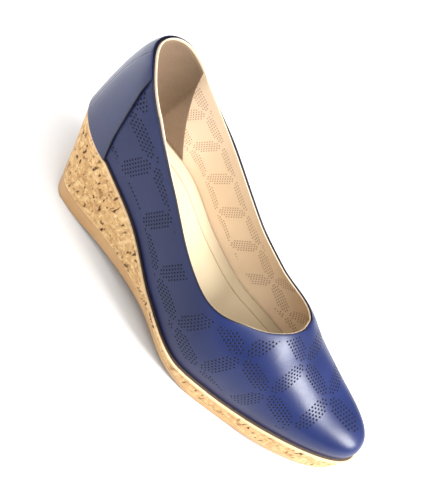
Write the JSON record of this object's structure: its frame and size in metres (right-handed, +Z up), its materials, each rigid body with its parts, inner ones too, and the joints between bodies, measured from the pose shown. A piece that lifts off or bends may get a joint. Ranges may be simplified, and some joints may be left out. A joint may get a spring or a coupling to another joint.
{
  "type": "perforated wedge pump",
  "caption": "Woman's slip-on wedge pump for the right foot, with a perforated leather upper, a smooth heel counter, a cork-covered wedge and a thin rubber outsole.",
  "frame": {"origin": "centre of the shoe's footprint, on the ground", "axes": "+X to the toe, +Y to the inner side of the foot, +Z up"},
  "size_m": [0.2458, 0.076, 0.1143],
  "materials": {
    "outsole_rubber": "satin tan rubber",
    "cork": "sealed cork sheet with dark flecks",
    "upper_leather": "polished navy leather with pinholes, beige lining",
    "counter_leather": "polished smooth navy leather",
    "insole_leather": "matt cream leather"
  },
  "bodies": {
    "root": {"outsole": "outsole_rubber", "cork_wedge": "cork", "upper": "upper_leather", "heel_counter": "counter_leather", "insole": "insole_leather"}
  },
  "joints": []
}
